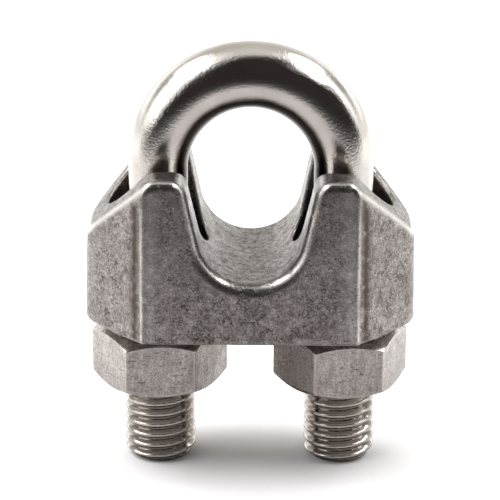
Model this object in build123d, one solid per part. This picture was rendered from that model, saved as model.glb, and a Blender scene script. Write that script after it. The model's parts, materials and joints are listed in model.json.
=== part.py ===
from build123d import *
import os
from math import cos, radians, sin, tan

# Wire rope clip: a U-bolt, a cast saddle that slides on its two legs, and two hex nuts.
# Millimetres, +Z up. The clip stands on the leg ends at z = 0, centred on the Z axis.
# The rope lies along Y, between the saddle's groove and the bow of the U-bolt.

# ---- driving dimensions ------------------------------------------------------------------
leg_spacing = 20.0          # between the axes of the two legs
leg_r = 3.2                 # plain shank, which is also the root of the thread
crown_r = 3.55              # rod radius at the top of the bow, a little fatter than the legs
spring_z = 34.2             # height at which the legs bend into the bow

pitch = 1.25                # M8 coarse, right-hand
thread_r = 3.91             # crest radius of the rolled thread
thread_top_z = 25.0         # upper end of the thread, inside the saddle
thread_fade = 1.4           # length over which the thread fades into the shank
end_chamfer = 0.8           # 45 degree chamfer on each leg end
crest_width = 0.20          # axial width of the leg's thread at its crest
root_width = 0.98           # axial width of the leg's thread at its root
flank_gap = 0.12            # axial play between the leg's thread and the nut's thread

nut_flats = 13.0            # across flats, M8 hex nut
nut_height = 6.5
nut_bore_r = 3.36           # crest of the nut's thread
nut_thread_r = 4.03         # root of the nut's thread
nut_face_r = 6.05           # flat ring left on each end face by the corner chamfer
nut_chamfer_angle = 30.0
nut_z = 9.1                 # underside of the nuts above the leg ends
nut_turns = {"nut_left": 3.0, "nut_right": 7.0}     # how far each hexagon is turned

seat_r = 6.1                # raised round seats under the saddle, on which the nuts bear
seat_height = 1.2
saddle_z = nut_z + nut_height + seat_height         # underside of the saddle's body
saddle_height = 18.3        # underside to horn tops
face_half_width = 11.6      # flat front and back faces, at the underside
half_depth = 9.6
half_width = 18.0
end_half_flat = 2.8         # half the flat on each end, before its corners are rounded
end_corner_r = 4.0
face_corner_r = 0.7
draft_angle = 1.2           # casting draft of all outer walls
horn_half_width = 10.8      # where the flat horn tops start to slope down to the ends
shoulder_angle = 47.2       # slope of the shoulders below the horizontal
hole_r = 5.2                # the two leg holes, which break into the groove's walls

groove_r = 5.65
groove_floor = 6.75         # metal under the groove
groove_flare = 12.0         # the groove's walls lean outwards by this angle
lip_r = 1.2                 # rounding between the groove and the front and back faces
top_r = 0.5                 # rounding of the outer top edges
foot_r = 0.5                # rounding of the lower outer edges

leg_x = leg_spacing / 2
bow_r = leg_spacing / 2
swell_rate = 1.6            # how soon above the legs the bow reaches its full thickness


def thread_profile(root_radius, crest_radius, at_root, at_crest):
    """Trapezoid of one thread turn, in the XZ plane, at z = 0."""
    return make_face(Polyline(
        (root_radius, 0, -at_root / 2),
        (crest_radius, 0, -at_crest / 2),
        (crest_radius, 0, at_crest / 2),
        (root_radius, 0, at_root / 2),
        close=True,
    ))


def thread_helix(profile, first_turn, turns, radius):
    """Right-hand helical solid; every turn n crosses the +X side at z = n * pitch."""
    path = Helix(pitch=pitch, height=turns * pitch, radius=radius)
    ridge = sweep(profile, path=path, is_frenet=True)
    return Pos(0, 0, first_turn * pitch) * ridge


def leg(x):
    """Shank with its rolled thread, from the chamfered end up to the bow."""
    core = Pos(x, 0, spring_z / 2) * Cylinder(leg_r, spring_z)
    sunk = 0.12
    slope = (root_width - crest_width) / (thread_r - leg_r)
    profile = thread_profile(leg_r - sunk, thread_r, root_width + slope * sunk, crest_width)
    turns = round(thread_top_z / pitch) + 1
    ridge = Pos(x, 0, 0) * thread_helix(profile, -1, turns + 1, leg_r)
    outside = thread_r + 0.3
    envelope = revolve(Plane.XZ * make_face(Polyline(
        (0, 0),
        (thread_r - end_chamfer, 0),
        (outside, end_chamfer + outside - thread_r),
        (outside, thread_top_z - thread_fade),
        (leg_r - sunk, thread_top_z),
        (0, thread_top_z),
        close=True,
    )), axis=Axis.Z)
    ridge = ridge & (Pos(x, 0, 0) * envelope)
    core = chamfer(core.edges().group_by(Axis.Z)[0], end_chamfer - (thread_r - leg_r) + 0.05)
    return core + ridge


def bow():
    """Half-ring joining the legs, its round section growing from the legs to the crown."""
    arc = ThreePointArc((-bow_r, 0, spring_z), (0, 0, spring_z + bow_r), (bow_r, 0, spring_z))
    sections = []
    for place in (0.0, 0.125, 0.25, 0.5, 0.75, 0.875, 1.0):
        above_leg = 90 - abs(180 * place - 90)
        swell = sin(radians(min(90, swell_rate * above_leg)))
        radius = leg_r + (crown_r - leg_r) * swell
        section = Plane(origin=arc @ place, z_dir=arc % place)
        sections.append(section * Circle(radius))
    return sweep(sections, path=arc, multisection=True)


def u_bolt():
    return bow() + leg(-leg_x) + leg(leg_x)


def saddle_outline():
    corners = [
        (face_half_width, -half_depth),
        (half_width, -end_half_flat),
        (half_width, end_half_flat),
        (face_half_width, half_depth),
        (-face_half_width, half_depth),
        (-half_width, end_half_flat),
        (-half_width, -end_half_flat),
        (-face_half_width, -half_depth),
    ]
    outline = make_face(Polyline(*corners, close=True))
    ends = [v for v in outline.vertices() if abs(v.X) > half_width - 0.1]
    outline = fillet(ends, end_corner_r)
    fronts = [v for v in outline.vertices() if abs(v.Y) > half_depth - 0.1]
    return fillet(fronts, face_corner_r)


def shoulder_cut(side):
    """Wedge that slopes one side of the saddle down from its horns to its end."""
    reach = 12.0
    drop = reach * tan(radians(shoulder_angle))
    wedge = make_face(Polyline(
        (horn_half_width, saddle_height),
        (horn_half_width + reach, saddle_height - drop),
        (horn_half_width + reach, saddle_height + 5),
        (horn_half_width, saddle_height + 5),
        close=True,
    ))
    solid = extrude(Plane.XZ * wedge, half_depth + 5, both=True)
    return solid if side > 0 else mirror(solid, about=Plane.YZ)


def groove_cut():
    """Rope groove: a round floor with walls that lean outwards, along Y."""
    centre_z = groove_floor + groove_r
    lean = radians(groove_flare)
    tangent_x = groove_r * cos(lean)
    tangent_z = centre_z - groove_r * tan(lean) * cos(lean)
    top_z = saddle_height + 5
    top_x = tangent_x + (top_z - tangent_z) * tan(lean)
    floor = ThreePointArc((-tangent_x, tangent_z), (0, groove_floor), (tangent_x, tangent_z))
    walls = Polyline((tangent_x, tangent_z), (top_x, top_z), (-top_x, top_z), (-tangent_x, tangent_z))
    return extrude(Plane.XZ * make_face([floor, walls]), half_depth + 5, both=True)


def groove_lips(body):
    """Edges where the groove runs out through the front and back faces."""
    inner = horn_half_width - 1
    lips = []
    for edge in body.edges():
        box = edge.bounding_box()
        on_face = abs(edge.center().Y) > half_depth - 1
        if on_face and box.min.Z > foot_r + 1 and box.max.X < inner and box.min.X > -inner:
            lips.append(edge)
    return lips


def top_edges(body):
    """Edges where the horn tops and the shoulders meet the outer walls and the lips."""
    chosen = []
    for edge in body.edges():
        box = edge.bounding_box()
        from_foot = box.min.Z < foot_r + 1
        along_rope = box.size.Y > half_depth
        near_groove = abs(edge.center().X) < horn_half_width - 1
        in_groove = near_groove and box.min.Z < saddle_height - 0.05
        if not (from_foot or along_rope or in_groove):
            chosen.append(edge)
    return chosen


def saddle():
    """Cast saddle, modelled with its underside at z = 0 and then raised onto the nuts."""
    body = extrude(saddle_outline(), saddle_height, taper=draft_angle)
    body -= shoulder_cut(1)
    body -= shoulder_cut(-1)
    body = fillet(body.edges().group_by(Axis.Z)[0], foot_r)
    body -= groove_cut()
    body = fillet(groove_lips(body), lip_r)
    body = fillet(top_edges(body), top_r)
    seats = Part() + [Pos(s * leg_x, 0, -seat_height / 2 + 0.25) * Cylinder(seat_r, seat_height + 0.5)
                      for s in (-1, 1)]
    body += seats
    for side in (-1, 1):
        body -= Pos(side * leg_x, 0, saddle_height / 2) * Cylinder(hole_r, saddle_height * 2)
    return Pos(0, 0, saddle_z) * body


def nut(x, turn):
    """Hex nut, chamfered on both faces, with its thread cut to match the leg's."""
    hexagon = RegularPolygon(nut_flats / 2, 6, major_radius=False, rotation=turn)
    blank = Pos(x, 0, nut_z) * extrude(hexagon, nut_height)
    corner_r = nut_flats / 2 / cos(radians(30)) + 0.5
    chamfer_z = (corner_r - nut_face_r) * tan(radians(nut_chamfer_angle))
    rounding = revolve(Plane.XZ * make_face(Polyline(
        (0, 0),
        (nut_face_r, 0),
        (corner_r, chamfer_z),
        (corner_r, nut_height - chamfer_z),
        (nut_face_r, nut_height),
        (0, nut_height),
        close=True,
    )), axis=Axis.Z)
    blank &= Pos(x, 0, nut_z) * rounding
    blank -= Pos(x, 0, nut_z + nut_height / 2) * Cylinder(nut_bore_r, nut_height * 2)
    slope = (root_width - crest_width) / (thread_r - leg_r)
    at_bore = root_width + flank_gap - slope * (nut_bore_r - leg_r)
    at_root = at_bore - slope * (nut_thread_r - nut_bore_r)
    inside = 0.3
    profile = thread_profile(nut_bore_r - inside, nut_thread_r, at_bore + slope * inside, at_root)
    first = int(nut_z / pitch) - 1
    turns = int(nut_height / pitch) + 4
    return blank - Pos(x, 0, 0) * thread_helix(profile, first, turns, nut_bore_r)


os.makedirs("parts", exist_ok=True)
export_step(u_bolt(), "parts/u_bolt.step")
export_step(saddle(), "parts/saddle.step")
export_step(nut(-leg_x, nut_turns["nut_left"]), "parts/nut_left.step")
export_step(nut(leg_x, nut_turns["nut_right"]), "parts/nut_right.step")
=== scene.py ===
import json
from math import asin, cos, degrees, hypot, pi, radians, sin, tan

import bpy
import numpy as np
from mathutils import Matrix, Vector


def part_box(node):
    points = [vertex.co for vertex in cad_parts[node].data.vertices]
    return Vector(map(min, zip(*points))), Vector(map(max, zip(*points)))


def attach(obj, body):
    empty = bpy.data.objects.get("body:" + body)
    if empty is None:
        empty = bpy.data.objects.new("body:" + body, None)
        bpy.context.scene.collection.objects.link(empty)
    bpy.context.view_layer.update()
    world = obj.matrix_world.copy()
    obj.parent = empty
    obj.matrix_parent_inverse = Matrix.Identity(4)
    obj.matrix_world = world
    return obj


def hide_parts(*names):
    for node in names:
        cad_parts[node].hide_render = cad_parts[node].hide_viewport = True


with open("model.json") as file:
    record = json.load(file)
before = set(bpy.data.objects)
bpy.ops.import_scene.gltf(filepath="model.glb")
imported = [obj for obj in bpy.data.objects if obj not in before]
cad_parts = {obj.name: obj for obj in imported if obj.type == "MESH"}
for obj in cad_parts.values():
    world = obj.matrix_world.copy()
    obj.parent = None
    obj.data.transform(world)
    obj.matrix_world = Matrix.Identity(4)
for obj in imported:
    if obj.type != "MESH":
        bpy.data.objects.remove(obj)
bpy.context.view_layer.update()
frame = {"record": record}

MM = 0.001
scene = bpy.context.scene
scene.view_settings.view_transform = "Standard"

# ---- sizes in millimetres, as the CAD model has them except where it says otherwise ----------
joints = {j["name"]: j for j in frame["record"]["behaviour"]["joints"]}
leg_x = joints["nut_right_spin"]["pos_m"][0] / MM
bolt_low, bolt_high = (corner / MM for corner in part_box("u_bolt"))
saddle_low, saddle_high = (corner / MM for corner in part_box("saddle"))
nut_low, nut_high = (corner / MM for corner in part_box("nut_left"))

leg_r = 3.2
crown_r = 3.55
bow_r = leg_x
swell_rate = 1.6            # how soon above the legs the bow reaches its full thickness
spring_z = bolt_high.z - bow_r - crown_r
pitch = 1.25
thread_r = 3.91
thread_top = 25.0
thread_fade = 1.4
end_chamfer = 0.8
end_step = 0.03             # small step at the very end of each leg, not in the CAD

nut_flats = 13.0
nut_height = nut_high.z - nut_low.z
nut_face_r = 6.05
nut_bore_r = 3.36
nut_thread_r = 4.03
nut_turns = {"nut_left": 3.0, "nut_right": 7.0}
nut_chamfer_angle = radians(30)
half_corner = radians(30)   # half the angle between the middles of two flats
sink_r = 4.2                # countersink at both ends of the nut's bore, not in the CAD
sink_depth = 0.72

seat_r = 6.1
seat_height = 1.2
saddle_z = saddle_low.z + seat_height
saddle_top = saddle_high.z - saddle_z
face_half_width = 11.6      # flat front and back faces, at the underside
half_depth = 9.6
half_width = 18.0
draft_angle = radians(1.2)
horn_half_width = 10.8      # where the horn tops start to slope down to the ends
hole_r = 5.2
groove_r = 5.65
groove_floor = 6.75         # metal under the groove
groove_flare = radians(12.0)
facet_normal = (0.7282, 0.6854)     # across the slanted faces beside the front, in x and y
facet_run = (0.685, 0.728)          # along them, in x and -y
shoulder_normal = (0.7337, 0.6794)  # across the sloping shoulders, in x and z


# ---- helpers -------------------------------------------------------------------------------
def add_mesh(name, points, faces, smooth=True):
    """New object from points in millimetres."""
    mesh = bpy.data.meshes.new(name)
    mesh.from_pydata((np.asarray(points) * MM).tolist(), [], faces)
    mesh.polygons.foreach_set("use_smooth", [smooth] * len(mesh.polygons))
    mesh.update()
    obj = bpy.data.objects.new(name, mesh)
    scene.collection.objects.link(obj)
    return obj


def add_attribute(obj, name, values):
    data = obj.data.attributes.new(name, "FLOAT", "POINT")
    data.data.foreach_set("value", np.asarray(values, dtype=np.float32))


def grid_faces(rows, columns):
    """Quads of a grid whose rows close on themselves."""
    i = np.arange(rows - 1)[:, None] * columns
    j = np.arange(columns)[None, :]
    k = (j + 1) % columns
    quads = np.stack([i + j, i + k, i + columns + k, i + columns + j], axis=-1)
    return quads.reshape(-1, 4).tolist()


def smoothstep(value, low, high):
    t = np.clip((value - low) / (high - low), 0, 1)
    return t * t * (3 - 2 * t)


def lattice_noise(points, size, seed):
    """Smooth noise in -1..1 with features of about the given size, the same in every run."""
    rng = np.random.default_rng(seed)
    table = rng.uniform(-1, 1, (32, 32, 32))
    p = points / size + 1000.0
    cell = np.floor(p).astype(int)
    t = p - cell
    t = t * t * (3 - 2 * t)
    total = 0
    for dx in (0, 1):
        for dy in (0, 1):
            for dz in (0, 1):
                wx = t[:, 0] if dx else 1 - t[:, 0]
                wy = t[:, 1] if dy else 1 - t[:, 1]
                wz = t[:, 2] if dz else 1 - t[:, 2]
                corner = table[(cell[:, 0] + dx) % 32, (cell[:, 1] + dy) % 32, (cell[:, 2] + dz) % 32]
                total = total + corner * wx * wy * wz
    return total


# ---- U-bolt: one rod, threaded at both ends --------------------------------------------------
def thread_height(z, around):
    """Height of the rolled thread above the shank, 0 to 1, for heights z and angles around."""
    turn = (z - pitch * around / (2 * pi)) / pitch
    d = np.abs(turn - np.round(turn)) * pitch
    half_root, half_crest, rounded_below = 0.49, 0.10, 0.30
    flank = np.clip((half_root - d) / (half_root - half_crest), 0, 1)
    root = smoothstep(flank, -0.25, rounded_below) * rounded_below
    # the fine seam that rolling leaves along the crest
    seam = 0.12 * np.exp(-(d / 0.04) ** 2)
    return np.where(flank < rounded_below, root, flank) - seam


def build_rod():
    columns = 72
    step = 0.0625
    theta = np.arange(columns) / columns * 2 * pi
    out, side = np.cos(theta), np.sin(theta)

    heights = [0.0, end_step]
    heights += list(np.arange(step, thread_top + 0.3, step))
    heights += list(np.linspace(thread_top + 0.6, spring_z - 0.3, 16))
    heights = np.array(heights)

    rows = []
    for sign in (-1, 1):
        around = pi - theta if sign < 0 else theta
        around = (around + pi) % (2 * pi) - pi
        leg_rows = []
        for z in heights:
            relief = thread_height(z, around) * (thread_r - leg_r)
            relief = relief * (1 - smoothstep(z, thread_top - thread_fade, thread_top - 0.1))
            radius = leg_r + relief
            chamfered = thread_r - end_chamfer + z
            radius = np.minimum(radius, chamfered)
            if z == 0.0:
                radius = np.minimum(radius, thread_r - end_chamfer - end_step)
            leg_rows.append(np.stack([sign * (leg_x + out * radius), side * radius,
                                      np.full(columns, z)], axis=-1))
        rows.append(leg_rows)

    bow_rows = []
    bow_steps = 120
    for k in range(bow_steps + 1):
        phi = pi * k / bow_steps
        above = min(phi, pi - phi)
        radius = leg_r + (crown_r - leg_r) * sin(min(swell_rate * above, pi / 2))
        reach = bow_r + out * radius
        bow_rows.append(np.stack([-cos(phi) * reach, side * radius, spring_z + sin(phi) * reach], axis=-1))
    line = rows[0] + bow_rows + rows[1][::-1]
    points = np.concatenate(line)
    faces = grid_faces(len(line), columns)

    # end faces, slightly dished as the shear leaves them
    for first, sign, order in ((0, -1, 1), ((len(line) - 1) * columns, 1, -1)):
        ring = first
        for share in (0.6, 0.25):
            base = len(points)
            radius = (thread_r - end_chamfer - end_step) * share
            new = np.stack([sign * (leg_x + out * radius), side * radius, np.full(columns, 0.02)], axis=-1)
            points = np.concatenate([points, new])
            for j in range(columns):
                k = (j + 1) % columns
                quad = [ring + k, ring + j, base + j, base + k]
                faces.append(quad if order > 0 else quad[::-1])
            ring = base
        centre = len(points)
        points = np.concatenate([points, [[sign * leg_x, 0, 0.025]]])
        for j in range(columns):
            k = (j + 1) % columns
            tri = [ring + k, ring + j, centre]
            faces.append(tri if order > 0 else tri[::-1])
    return add_mesh("u_bolt_rod", points, faces)


# ---- nuts -----------------------------------------------------------------------------------
def rounded_line(corners, radii, steps=3):
    """Open line through corners, with each inner corner rounded."""
    points = [Vector(corners[0])]
    for before, here, after, radius in zip(corners, corners[1:], corners[2:], radii):
        before, here, after = Vector(before), Vector(here), Vector(after)
        a, b = (before - here).normalized(), (after - here).normalized()
        half = a.angle(b) / 2
        cut = radius / tan(half)
        start, end = here + a * cut, here + b * cut
        centre = here + (a + b).normalized() * (radius / sin(half))
        u, v = start - centre, end - centre
        sweep = u.angle(v)
        for k in range(steps + 1):
            t = k / steps
            points.append(centre + (u * sin((1 - t) * sweep) + v * sin(t * sweep)) / sin(sweep))
    points.append(Vector(corners[-1]))
    return points


def build_nut(name, node, x):
    half_flat = nut_flats / 2
    corner_rounding = 0.22
    centre = (half_flat - corner_rounding) / cos(half_corner)
    tangent = asin(corner_rounding * sin(half_corner) / hypot(centre + corner_rounding * cos(half_corner),
                                                              corner_rounding * sin(half_corner)))
    # the columns of points run up the nut at these angles from each corner, in degrees
    offsets = [0, degrees(tangent) * 0.33, degrees(tangent) * 0.66, degrees(tangent), 1.7, 3, 5.5, 9, 13,
               17, 21, 25, 30]
    offsets = [-o for o in offsets[:0:-1]] + offsets[:-1]
    angles, radii = [], []
    for corner in range(6):
        for offset in offsets:
            eps = radians(offset)
            if abs(eps) <= tangent:
                r = centre * cos(eps) + (corner_rounding ** 2 - (centre * sin(eps)) ** 2) ** 0.5
            else:
                r = half_flat / cos(half_corner - abs(eps))
            angles.append(radians(corner * 60 + nut_turns[node]) + eps)
            radii.append(r)
    angles = np.array(angles)
    columns = len(angles)

    # outer surface: from the bottom countersink out, up the flats, and in again
    sink_end_r = nut_bore_r + 0.05
    lines = []
    for r in radii:
        rise = (r - nut_face_r) * tan(nut_chamfer_angle)
        corners = [(sink_end_r, sink_depth), (sink_r, 0.0), (nut_face_r, 0.0), (r, rise),
                   (r, nut_height - rise), (nut_face_r, nut_height), (sink_r, nut_height),
                   (sink_end_r, nut_height - sink_depth)]
        lines.append(rounded_line(corners, [0.06, 0.35, 0.10, 0.10, 0.35, 0.06]))
    rows, wear_and_highlight_rows = [], []
    per_row = len(lines[0])
    at_corner = smoothstep(np.array([abs(o) for o in offsets * 6]), 1.6, 0.5)
    for k in range(per_row):
        r = np.array([line[k].x for line in lines])
        z = np.array([line[k].y for line in lines])
        rows.append((r, z))
        # rows 9 to 16 round the edges between the flats and the two chamfers
        on_edge = 1.0 if 9 <= k <= 16 else 0.0
        wear_and_highlight_rows.append(np.maximum(at_corner * (4 < k < per_row - 5), on_edge))
        # more rows over the flats, so that their faint unevenness shows
        if k == per_row // 2 - 1:
            r2 = np.array([line[k + 1].x for line in lines])
            z2 = np.array([line[k + 1].y for line in lines])
            for t in np.linspace(0, 1, 16)[1:-1]:
                rows.append((r + (r2 - r) * t, z + (z2 - z) * t))
                wear_and_highlight_rows.append(at_corner)

    # bore with the female thread, from top to bottom
    step = 0.0833
    half_mouth, half_root = 0.462, 0.094
    for z in np.arange(nut_height - sink_depth - step, sink_depth, -step):
        turn = (nut_low.z + z - pitch * angles / (2 * pi)) / pitch
        d = np.abs(turn - np.round(turn)) * pitch
        depth = np.clip((half_mouth - d) / (half_mouth - half_root), 0, 1)
        rows.append((nut_bore_r + (nut_thread_r - nut_bore_r) * depth, np.full(columns, z)))
        wear_and_highlight_rows.append(np.zeros(columns))

    points = np.concatenate([
        np.stack([x + r * np.cos(angles), r * np.sin(angles), nut_low.z + z], axis=-1) for r, z in rows])
    total = len(rows)
    faces = grid_faces(total, columns)
    last = (total - 1) * columns
    for j in range(columns):
        k = (j + 1) % columns
        faces.append([last + j, last + k, k, j])
    made = add_mesh(name, points, faces)
    add_attribute(made, "wear_and_highlight", np.concatenate(wear_and_highlight_rows))
    return made


# ---- saddle: a cast body, meshed from a distance field ------------------------------------------
def soft_max(a, b, width):
    h = np.maximum(width - np.abs(a - b), 0) / width
    return np.maximum(a, b) + h * h * width / 4


def round_max(a, b, radius):
    return np.minimum(-radius, np.maximum(a, b)) + np.hypot(np.maximum(a + radius, 0),
                                                            np.maximum(b + radius, 0))


def saddle_walls(p):
    """Distances of points from the saddle's single walls and the legs' axes; z is 0 at its underside."""
    x, y, z = np.abs(p[:, 0]), np.abs(p[:, 1]), p[:, 2]
    draft = z * tan(draft_angle)
    front = y - half_depth + draft
    facet = (x - face_half_width) * facet_normal[0] + (y - half_depth) * facet_normal[1] + draft
    end = x - half_width + draft
    shoulder = (x - horn_half_width) * shoulder_normal[0] + (z - saddle_top) * shoulder_normal[1]
    top = soft_max(z - saddle_top, shoulder, 0.6)
    lean = groove_flare
    zc = groove_floor + groove_r
    wall = x * cos(lean) - (z - zc) * sin(lean) - groove_r
    floor = np.hypot(x, z - zc) - groove_r
    groove = np.where(x * sin(lean) + (z - zc) * cos(lean) > 0, wall, floor)
    return front, facet, end, top, groove, np.hypot(x - leg_x, y)


def saddle_field(p):
    """Signed distance, roughly, from the saddle's surface."""
    front, facet, end, top, groove, from_leg = saddle_walls(p)
    x, z = np.abs(p[:, 0]), p[:, 2]
    plan = soft_max(soft_max(facet, end, 1.13), front, 0.22)
    body = round_max(top, -groove, 1.5)
    body = round_max(body, plan, 0.85 + 0.40 * smoothstep(x, 8.6, 6.6))
    body = round_max(body, -z, 0.5)
    seat = np.maximum(np.maximum(from_leg - seat_r, -z - seat_height), z - 0.6)
    body = -soft_max(-body, -seat, 0.5)
    edge = 0.30 + 0.45 * smoothstep(z, 3.0, 9.0)
    return round_max(body, hole_r - from_leg, edge)


def ridge(a, b, width):
    """1 on the ridge between two walls, falling off within the given width."""
    near = smoothstep(np.minimum(a, b), -0.9, -0.45)
    return np.exp(-((a - b) / width) ** 2) * near


def surface_nets(field, low, high, step):
    """Quad mesh of a field's zero level."""
    axes = [np.arange(low[i], high[i] + step, step) for i in range(3)]
    shape = [len(a) for a in axes]
    values = np.empty(shape, dtype=np.float32)
    gy, gz = np.meshgrid(axes[1], axes[2], indexing="ij")
    for i, x in enumerate(axes[0]):
        slab = np.stack([np.full(gy.size, x), gy.ravel(), gz.ravel()], axis=-1)
        values[i] = field(slab).reshape(gy.shape)
    inside = values < 0
    count = np.zeros([n - 1 for n in shape], dtype=np.int8)
    corners = [(i, j, k) for i in (0, 1) for j in (0, 1) for k in (0, 1)]
    for i, j, k in corners:
        count += inside[i:shape[0] - 1 + i, j:shape[1] - 1 + j, k:shape[2] - 1 + k]
    active = (count > 0) & (count < 8)
    cells = np.argwhere(active)
    index = np.full(active.shape, -1, dtype=np.int64)
    index[tuple(cells.T)] = np.arange(len(cells))
    total = np.zeros((len(cells), 3))
    hits = np.zeros(len(cells))
    for a in corners:
        for axis in range(3):
            if a[axis]:
                continue
            b = list(a)
            b[axis] = 1
            va = values[tuple((cells + a).T)].astype(float)
            vb = values[tuple((cells + b).T)].astype(float)
            cross = (va < 0) != (vb < 0)
            t = np.where(cross, va / np.where(cross, va - vb, 1), 0)
            where = np.array(a, dtype=float)[None, :].repeat(len(cells), axis=0)
            where[:, axis] += t
            total += where * cross[:, None]
            hits += cross
    points = np.array([a[0] for a in axes]) + (cells + total / hits[:, None]) * step

    quads = []
    for axis in range(3):
        u, v = (axis + 1) % 3, (axis + 2) % 3
        near = [slice(1, -1)] * 3
        far = [slice(1, -1)] * 3
        near[axis] = slice(0, -1)
        far[axis] = slice(1, None)
        change = inside[tuple(near)] != inside[tuple(far)]
        edges = np.argwhere(change)
        edges[:, u] += 1
        edges[:, v] += 1
        ring = []
        for du, dv in ((-1, -1), (0, -1), (0, 0), (-1, 0)):
            c = edges.copy()
            c[:, u] += du
            c[:, v] += dv
            ring.append(index[tuple(c.T)])
        quad = np.stack(ring, axis=-1)
        flip = ~inside[tuple(edges.T)]
        quad[flip] = quad[flip][:, ::-1]
        quads.append(quad)
    return points, np.concatenate(quads)


def build_saddle():
    step = 0.215
    margin = 0.6
    low = (-half_width - margin, -half_depth - margin, -seat_height - margin)
    high = (half_width + margin, half_depth + margin, saddle_top + margin)
    # an odd start keeps the flat faces off the grid planes
    low = tuple(value + 0.037 for value in low)
    points, quads = surface_nets(saddle_field, low, high, step)
    # four steps along the field's slope bring each point onto the surface
    probe = 0.02
    for _ in range(4):
        here = saddle_field(points)
        slope = np.stack([
            (saddle_field(points + probe * np.eye(3)[i]) - saddle_field(points - probe * np.eye(3)[i]))
            / (2 * probe) for i in range(3)], axis=-1)
        size = np.maximum((slope ** 2).sum(axis=1), 0.2)
        move = -(here / size)[:, None] * slope
        points = points + np.clip(move, -0.12, 0.12)
    normal = slope / np.linalg.norm(slope, axis=1)[:, None]
    # where tumbling has polished the convex edges, made lighter still by a painted highlight
    front, facet, end, top, groove, from_leg = saddle_walls(points)
    plan = np.maximum(np.maximum(front, facet), end)
    hole = hole_r - from_leg
    wear_and_highlight = np.maximum.reduce([
        ridge(top, plan, 0.34), 0.75 * ridge(front, facet, 0.13), 0.40 * ridge(-points[:, 2], plan, 0.20),
        0.55 * ridge(-groove, plan, 0.35), 0.55 * ridge(top, -groove, 0.35),
        0.60 * ridge(hole, top, 0.22), 0.55 * ridge(hole, -groove, 0.22)])
    wear_and_highlight = wear_and_highlight * smoothstep(lattice_noise(points, 1.6, 21), -1.3, -0.1)
    from_middle, from_rope_middle = np.abs(points[:, 0]), np.abs(points[:, 1])
    upright = smoothstep(np.abs(normal[:, 2]), 0.35, 0.15)
    # a shallow furrow runs up each slanted face, beside its edge with the front, with painted shade along
    # it
    along = ((from_middle - face_half_width) * facet_run[0]
             - (from_rope_middle - half_depth) * facet_run[1])
    ripple = np.exp(-((along - 1.15) / 0.62) ** 2) * upright * (from_middle > face_half_width)
    painted_shade_strip = ripple * smoothstep(lattice_noise(points, 0.6, 22), -1.3, 0.2)
    # and a soft painted highlight lies on the front's side of that edge
    on_face = upright * (from_middle <= face_half_width)
    wear_and_highlight = np.maximum(wear_and_highlight, 0.22 * np.exp(-((along + 0.55) / 0.5) ** 2) * on_face)
    # the casting's unevenness: long soft waves and a finer one, none on the round seats
    uneven = 0.030 * lattice_noise(points, 3.1, 11) + 0.016 * lattice_noise(points, 1.3, 12)
    uneven += 0.007 * lattice_noise(points, 0.6, 13)
    above_seats = smoothstep(points[:, 2], -0.5, 0.3)
    points = points + normal * (uneven * above_seats - 0.02 - 0.03 * ripple)[:, None]
    points[:, 2] += saddle_z
    low_edge = np.array(saddle_low) + 0.002
    high_edge = np.array(saddle_high) - 0.002
    points = np.clip(points, low_edge, high_edge)
    made = add_mesh("saddle_casting", points, quads.tolist())
    add_attribute(made, "wear_and_highlight", wear_and_highlight)
    add_attribute(made, "painted_shade_strip", painted_shade_strip)
    return made


# ---- materials -------------------------------------------------------------------------------
def new_node(tree, kind, inputs=None, **settings):
    made = tree.nodes.new(kind)
    for key, value in settings.items():
        setattr(made, key, value)
    for key, value in (inputs or {}).items():
        if isinstance(value, bpy.types.NodeSocket):
            tree.links.new(value, made.inputs[key])
        else:
            made.inputs[key].default_value = value
    return made


def new_material(name):
    material = bpy.data.materials.new(name)
    material.use_nodes = True
    tree = material.node_tree
    tree.nodes.clear()
    place = new_node(tree, "ShaderNodeTexCoord").outputs["Object"]
    return material, tree, place


def noise_at(tree, place, scale, detail=2.0, rough=0.5, stretch=(1, 1, 1)):
    if stretch != (1, 1, 1):
        place = new_node(tree, "ShaderNodeMapping", {"Vector": place, "Scale": stretch}).outputs[0]
    made = new_node(tree, "ShaderNodeTexNoise",
                    {"Vector": place, "Scale": scale, "Detail": detail, "Roughness": rough})
    return made.outputs["Fac"]


def ramp(tree, value, stops):
    made = new_node(tree, "ShaderNodeValToRGB", {"Fac": value})
    band = made.color_ramp
    band.elements[0].position, band.elements[0].color = stops[0][0], (*stops[0][1], 1)
    band.elements[1].position, band.elements[1].color = stops[-1][0], (*stops[-1][1], 1)
    for position, colour in stops[1:-1]:
        band.elements.new(position).color = (*colour, 1)
    return made.outputs["Color"]


def remap(tree, value, low, high, to_low, to_high):
    made = new_node(tree, "ShaderNodeMapRange",
                    {"Value": value, 1: low, 2: high, 3: to_low, 4: to_high})
    return made.outputs[0]


def math_node(tree, operation, a, b=0.0):
    return new_node(tree, "ShaderNodeMath", {0: a, 1: b}, operation=operation).outputs[0]


def bump(tree, height, depth, below=None, strength=1.0):
    inputs = {"Height": height, "Distance": depth, "Strength": strength}
    if below is not None:
        inputs["Normal"] = below
    return new_node(tree, "ShaderNodeBump", inputs).outputs[0]


def mix_colour(tree, share, a, b, blend="MIX"):
    made = new_node(tree, "ShaderNodeMix", data_type="RGBA", blend_type=blend)
    for key, value in ((0, share), (6, a), (7, b)):
        if isinstance(value, bpy.types.NodeSocket):
            tree.links.new(value, made.inputs[key])
        else:
            made.inputs[key].default_value = value
    return made.outputs[2]


def finish_metal(tree, colour, roughness, normal):
    shader = new_node(tree, "ShaderNodeBsdfPrincipled",
                      {"Base Color": colour, "Metallic": 1.0, "Roughness": roughness, "Normal": normal})
    new_node(tree, "ShaderNodeOutputMaterial", {"Surface": shader.outputs[0]})


def attribute(tree, name):
    return new_node(tree, "ShaderNodeAttribute", attribute_name=name).outputs["Fac"]


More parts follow.
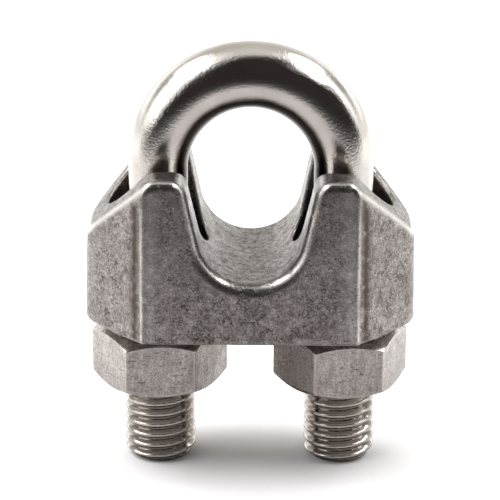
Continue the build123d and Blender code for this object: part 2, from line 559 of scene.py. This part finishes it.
def rod_steel():
    """Polished bow and shank; painted shade darkens the roots of the rolled threads."""
    material, tree, place = new_material("stainless_polished")
    split = new_node(tree, "ShaderNodeSeparateXYZ", {"Vector": place})
    x, y, z = split.outputs
    from_axis = math_node(tree, "SUBTRACT", math_node(tree, "ABSOLUTE", x), leg_x * MM)
    squares = math_node(tree, "ADD", math_node(tree, "MULTIPLY", from_axis, from_axis),
                        math_node(tree, "MULTIPLY", y, y))
    radius = math_node(tree, "SQRT", squares)
    threaded = remap(tree, z, (thread_top - 0.6) * MM, thread_top * MM, 1.0, 0.0)
    # painted shade: the thread roots get a dark colour where shade falls between the crests
    root = remap(tree, radius, (leg_r + 0.06) * MM, (thread_r - 0.14) * MM, 1.0, 0.0)
    root_painted_shade = math_node(tree, "MULTIPLY", threaded, root)
    cloud = noise_at(tree, place, 260, 3)
    grain = noise_at(tree, place, 4200, 3, 0.6)
    clean = ramp(tree, cloud, [(0.3, (0.61, 0.57, 0.535)), (0.7, (0.71, 0.675, 0.64))])
    crest = ramp(tree, cloud, [(0.3, (0.52, 0.485, 0.455)), (0.7, (0.66, 0.625, 0.59))])
    # the painted shade colour of the thread roots
    dark = ramp(tree, grain, [(0.3, (0.13, 0.105, 0.085)), (0.7, (0.25, 0.215, 0.185))])
    colour = mix_colour(tree, threaded, clean, crest)
    colour = mix_colour(tree, root_painted_shade, colour, dark)
    # painted shade: the inner side of the bend is painted dark, standing in for the dark reflection of the
    # shaded saddle under it
    above = math_node(tree, "MAXIMUM", math_node(tree, "SUBTRACT", z, spring_z * MM), 0.0)
    from_centre = math_node(tree, "SQRT", math_node(
        tree, "ADD", math_node(tree, "MULTIPLY", x, x), math_node(tree, "MULTIPLY", above, above)))
    uneven = math_node(tree, "MULTIPLY", math_node(tree, "SUBTRACT", cloud, 0.5), 0.0008)
    inner_painted_shade = remap(tree, math_node(tree, "ADD", from_centre, uneven), (bow_r - 2.15) * MM,
                  (bow_r - 1.75) * MM, 1.0, 0.0)
    inner_painted_shade = math_node(tree, "MULTIPLY", inner_painted_shade,
                      remap(tree, z, (thread_top - 1) * MM, (thread_top + 1) * MM, 0.0, 1.0))
    colour = mix_colour(tree, inner_painted_shade, colour, (0.055, 0.046, 0.040, 1))
    smear = noise_at(tree, place, 900, 3)
    roughness = remap(tree, smear, 0.3, 0.7, 0.08, 0.14)
    normal = bump(tree, noise_at(tree, place, 420, 2), 0.000012)
    calm = math_node(tree, "SUBTRACT", 1.0, math_node(tree, "MULTIPLY", threaded, 0.75))
    normal = bump(tree, smear, 0.000010, normal, calm)
    normal = bump(tree, grain, 0.000029, normal, calm)
    finish_metal(tree, colour, roughness, normal)
    return material


def cast_steel():
    """Investment-cast stainless, tumbled: mottled dull skin, fine dark pits, polished edges with a painted
    highlight, and a painted shade strip beside each front corner.
    """
    material, tree, place = new_material("stainless_cast")
    wear_and_highlight = attribute(tree, "wear_and_highlight")
    painted_shade_strip = attribute(tree, "painted_shade_strip")
    cloud = noise_at(tree, place, 300, 3, 0.6)
    patch = noise_at(tree, place, 1500, 4, 0.65)
    fine = noise_at(tree, place, 5200, 3, 0.75)
    wrinkle = noise_at(tree, place, 2100, 3, 0.6)
    crowd = noise_at(tree, place, 800, 3, 0.6)
    base = ramp(tree, cloud, [(0.30, (0.250, 0.229, 0.219)), (0.50, (0.292, 0.269, 0.258)),
                              (0.70, (0.345, 0.320, 0.308))])
    shade = ramp(tree, patch, [(0.36, (0.74, 0.71, 0.70)), (0.50, (0.97, 0.96, 0.95)),
                               (0.64, (1.20, 1.20, 1.19))])
    colour = mix_colour(tree, 1.0, base, shade, "MULTIPLY")
    grit = ramp(tree, fine, [(0.36, (0.52, 0.50, 0.49)), (0.50, (1.0, 1.0, 1.0)),
                             (0.66, (1.50, 1.50, 1.50))])
    colour = mix_colour(tree, 1.0, colour, grit, "MULTIPLY")
    from_line = math_node(tree, "ABSOLUTE", math_node(tree, "SUBTRACT", wrinkle, 0.5))
    pit = math_node(tree, "MULTIPLY", remap(tree, from_line, 0.040, 0.016, 0.0, 0.92),
                    remap(tree, crowd, 0.50, 0.58, 0.0, 1.0))
    colour = mix_colour(tree, pit, colour, (0.05, 0.042, 0.038, 1))
    # painted shade: a dark strip along each slanted face beside its front corner
    colour = mix_colour(tree, painted_shade_strip, colour, (0.075, 0.058, 0.046, 1))
    # painted highlight: polished edges are mixed toward a pale colour as well as made less rough
    share = math_node(tree, "MULTIPLY", wear_and_highlight, 0.9)
    colour = mix_colour(tree, share, colour, (0.80, 0.77, 0.73, 1))
    dull = remap(tree, patch, 0.32, 0.68, 0.44, 0.26)
    bright = remap(tree, patch, 0.3, 0.7, 0.22, 0.14)
    roughness = new_node(tree, "ShaderNodeMix", {0: share, 2: dull, 3: bright}).outputs[0]
    calm = math_node(tree, "SUBTRACT", 1.0, math_node(tree, "MULTIPLY", wear_and_highlight, 0.85))
    normal = bump(tree, patch, 0.000020, None, calm)
    normal = bump(tree, fine, 0.000015, normal, calm)
    normal = bump(tree, math_node(tree, "SUBTRACT", 1.0, pit), 0.000025, normal, calm)
    finish_metal(tree, colour, roughness, normal)
    return material


def nut_steel():
    """Satin flats with a drawn grain, tumbling marks, dark specks and polished edges, made lighter by a
    painted highlight.
    """
    material, tree, place = new_material("stainless_satin")
    wear_and_highlight = attribute(tree, "wear_and_highlight")
    streak = noise_at(tree, place, 1.0, 3, 0.6, stretch=(2600, 2600, 420))
    cloud = noise_at(tree, place, 520, 4, 0.65)
    fine = noise_at(tree, place, 4600, 3, 0.75)
    scratch = noise_at(tree, place, 1.0, 1, 0.4, stretch=(700, 700, 4200))
    colour = ramp(tree, cloud, [(0.30, (0.355, 0.324, 0.313)), (0.50, (0.430, 0.400, 0.388)),
                                (0.70, (0.500, 0.470, 0.456))])
    drawn = ramp(tree, streak, [(0.32, (0.84, 0.82, 0.80)), (0.68, (1.12, 1.12, 1.12))])
    colour = mix_colour(tree, 1.0, colour, drawn, "MULTIPLY")
    grit = ramp(tree, fine, [(0.36, (0.62, 0.60, 0.58)), (0.64, (1.34, 1.34, 1.34))])
    colour = mix_colour(tree, 1.0, colour, grit, "MULTIPLY")
    line = remap(tree, scratch, 0.27, 0.33, 0.55, 0.0)
    speck = remap(tree, noise_at(tree, place, 2100, 4, 0.7), 0.36, 0.32, 0.0, 0.8)
    dark = math_node(tree, "MAXIMUM", line, speck)
    colour = mix_colour(tree, dark, colour, (0.07, 0.058, 0.050, 1))
    # painted highlight: corners and chamfer edges are mixed toward a pale colour
    colour = mix_colour(tree, math_node(tree, "MULTIPLY", wear_and_highlight, 0.35), colour, (0.54, 0.51, 0.48, 1))
    dull = remap(tree, cloud, 0.3, 0.7, 0.36, 0.24)
    roughness = new_node(tree, "ShaderNodeMix", {0: wear_and_highlight, 2: dull, 3: 0.16}).outputs[0]
    normal = bump(tree, streak, 0.000006)
    normal = bump(tree, fine, 0.000006, normal)
    normal = bump(tree, noise_at(tree, place, 500, 2), 0.000022, normal)
    finish_metal(tree, colour, roughness, normal)
    return material


# ---- pieces ----------------------------------------------------------------------------------
rod = build_rod()
rod.data.materials.append(rod_steel())
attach(rod, "u_bolt")
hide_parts("u_bolt")

casting = build_saddle()
casting.data.materials.append(cast_steel())
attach(casting, "saddle")
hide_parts("saddle")

satin = nut_steel()
for node, x in (("nut_left", -leg_x), ("nut_right", leg_x)):
    hexagon = build_nut(node + "_hex", node, x)
    hexagon.data.materials.append(satin)
    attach(hexagon, node)
    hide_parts(node)

# ---- floor, world and lights --------------------------------------------------------------------
centre = Vector((0, 0, (bolt_low.z + bolt_high.z) / 2)) * MM


def build_floor():
    size = 1500.0
    ground = bolt_low.z - 0.02
    points = [(-size, -size, ground), (size, -size, ground), (size, size, ground), (-size, size, ground)]
    floor = add_mesh("studio_floor", points, [(0, 1, 2, 3)], smooth=False)
    material, tree, place = new_material("studio_floor")
    split = new_node(tree, "ShaderNodeSeparateXYZ", {"Vector": place})
    # painted shade: as the clip reflects it, the table is painted darker towards its front edge, and near
    # black beyond it for the dark room
    ahead = remap(tree, split.outputs["Y"], 0.0, -0.200, 0.0, 1.0)
    table = ramp(tree, ahead, [(0.0, (0.58, 0.575, 0.58)), (0.07, (0.38, 0.37, 0.375)),
                               (0.38, (0.39, 0.38, 0.385)), (0.46, (0.24, 0.235, 0.235)),
                               (0.52, (0.11, 0.105, 0.105)), (0.84, (0.03, 0.03, 0.03))])
    # painted light: in reflections the table is painted lighter to the sides, in bands
    away = math_node(tree, "ABSOLUTE", split.outputs["X"])
    side = ramp(tree, remap(tree, away, 0.0, 0.200, 0.0, 1.0),
                [(0.15, (0.60, 0.60, 0.60)), (0.22, (0.82, 0.82, 0.82)), (0.30, (0.60, 0.60, 0.61)),
                 (0.52, (0.54, 0.54, 0.55)), (0.72, (0.82, 0.82, 0.82))])
    open_side = math_node(tree, "MULTIPLY", remap(tree, away, 0.030, 0.045, 0.0, 1.0),
                          remap(tree, ahead, 0.20, 0.45, 1.0, 0.0))
    table = mix_colour(tree, open_side, table, side)
    # painted light: in reflections the table is painted lighter behind the clip
    behind = remap(tree, split.outputs["Y"], 0.015, 0.055, 0.0, 1.0)
    table = mix_colour(tree, behind, table, (0.76, 0.76, 0.76, 1))
    # painted shade: as the camera sees it, the table is painted a little darker in front of the clip than
    # behind it
    near = ramp(tree, remap(tree, split.outputs["Y"], 0.030, -0.050, 0.0, 1.0),
                [(0.0, (0.92, 0.92, 0.92)), (0.4, (0.83, 0.822, 0.828)), (1.0, (0.67, 0.662, 0.672))])
    seen = new_node(tree, "ShaderNodeLightPath").outputs["Is Camera Ray"]
    colour = mix_colour(tree, seen, table, near)
    shader = new_node(tree, "ShaderNodeBsdfDiffuse", {"Color": colour})
    new_node(tree, "ShaderNodeOutputMaterial", {"Surface": shader.outputs[0]})
    floor.data.materials.append(material)


build_floor()


def build_world():
    """White room all round, with a dark gap in front of the clip, where the camera stands."""
    world = bpy.data.worlds.new("studio")
    scene.world = world
    world.use_nodes = True
    tree = world.node_tree
    tree.nodes.clear()
    way = new_node(tree, "ShaderNodeTexCoord").outputs["Generated"]
    split = new_node(tree, "ShaderNodeSeparateXYZ", {"Vector": way})
    x, y, z = split.outputs
    turn = math_node(tree, "ARCTAN2", x, math_node(tree, "MULTIPLY", y, -1.0))
    rise = math_node(tree, "ARCSINE", z)
    # the dark gap's left, right and upper borders
    soft = radians(4)
    left_border, right_border, top_border = radians(-48), radians(80), radians(81)
    left = remap(tree, turn, left_border - soft, left_border + soft, 0.0, 1.0)
    right = remap(tree, turn, right_border - soft, right_border + soft, 1.0, 0.0)
    top = remap(tree, rise, top_border - soft / 2, top_border + soft / 2, 1.0, 0.0)
    dark = math_node(tree, "MULTIPLY", math_node(tree, "MULTIPLY", left, right), top)
    # the side walls are brighter than the rest, most of all above the floor
    aside = remap(tree, math_node(tree, "ABSOLUTE", x), 0.25, 0.70, 0.0, 1.0)
    raised = remap(tree, rise, radians(0), radians(14), 0.0, 1.0)
    upper = math_node(tree, "MULTIPLY", aside, raised)
    white = mix_colour(tree, aside, (0.98, 0.98, 0.96, 1), (1.10, 1.10, 1.08, 1))
    white = mix_colour(tree, upper, white, (2.3, 2.3, 2.3, 1))
    # a dim band between the white overhead and the white wall behind the clip
    over = math_node(tree, "ARCTAN2", z, math_node(tree, "MULTIPLY", y, -1.0))
    gap = math_node(tree, "MULTIPLY", remap(tree, over, radians(107), radians(111), 0.0, 1.0),
                    remap(tree, over, radians(150), radians(158), 1.0, 0.0))
    dim = mix_colour(tree, aside, (0.72, 0.71, 0.65, 1), (0.50, 0.49, 0.45, 1))
    white = mix_colour(tree, gap, white, dim)
    # the middle of the ceiling is a little dimmer
    middle = math_node(tree, "MULTIPLY", remap(tree, math_node(tree, "ABSOLUTE", x), 0.10, 0.26, 1.0, 0.0),
                       remap(tree, rise, radians(55), radians(68), 0.0, 1.0))
    white = mix_colour(tree, middle, white, (0.80, 0.79, 0.74, 1))
    colour = mix_colour(tree, dark, white, (0.035, 0.03, 0.028, 1))
    background = new_node(tree, "ShaderNodeBackground", {"Color": colour, "Strength": 1.0})
    new_node(tree, "ShaderNodeOutputWorld", {"Surface": background.outputs[0]})


build_world()


def area_light(name, offset, size, power, in_reflections=True):
    light = bpy.data.lights.new(name, "AREA")
    light.shape = "RECTANGLE"
    light.size, light.size_y = size
    light.energy = power
    obj = bpy.data.objects.new(name, light)
    obj.location = centre + Vector(offset)
    obj.rotation_euler = (-Vector(offset)).to_track_quat("-Z", "Y").to_euler()
    obj.visible_glossy = in_reflections
    scene.collection.objects.link(obj)


area_light("softbox_left", (-0.52, 0.07, 0.60), (0.76, 0.22), 2.6)
area_light("softbox_right", (0.46, 0.07, 0.60), (0.80, 0.22), 2.7)
# this one brightens the floor and doesn't show in the metal's reflections
area_light("floor_light", (-0.10, 0.06, 0.60), (0.60, 0.60), 4.2, in_reflections=False)

# ---- camera: the photograph's viewing angle ------------------------------------------------------
azimuth, elevation, roll = radians(0.229), radians(21.25), radians(0.33)
distance = 0.2469
aim = centre + Vector((-0.00006, 0, 0.00028))
back = Vector((sin(azimuth) * cos(elevation), -cos(azimuth) * cos(elevation), sin(elevation)))
right = Vector((cos(azimuth), sin(azimuth), 0))
up = back.cross(right)
across = right * cos(roll) + up * sin(roll)
upward = up * cos(roll) - right * sin(roll)
camera = bpy.data.objects.new("camera", bpy.data.cameras.new("camera"))
camera.data.sensor_width = 36
camera.data.lens = 162.6
camera.data.clip_start = 0.01
turned = Matrix((across, upward, back)).transposed().to_4x4()
camera.matrix_world = Matrix.Translation(aim + back * distance) @ turned
scene.collection.objects.link(camera)
scene.camera = camera
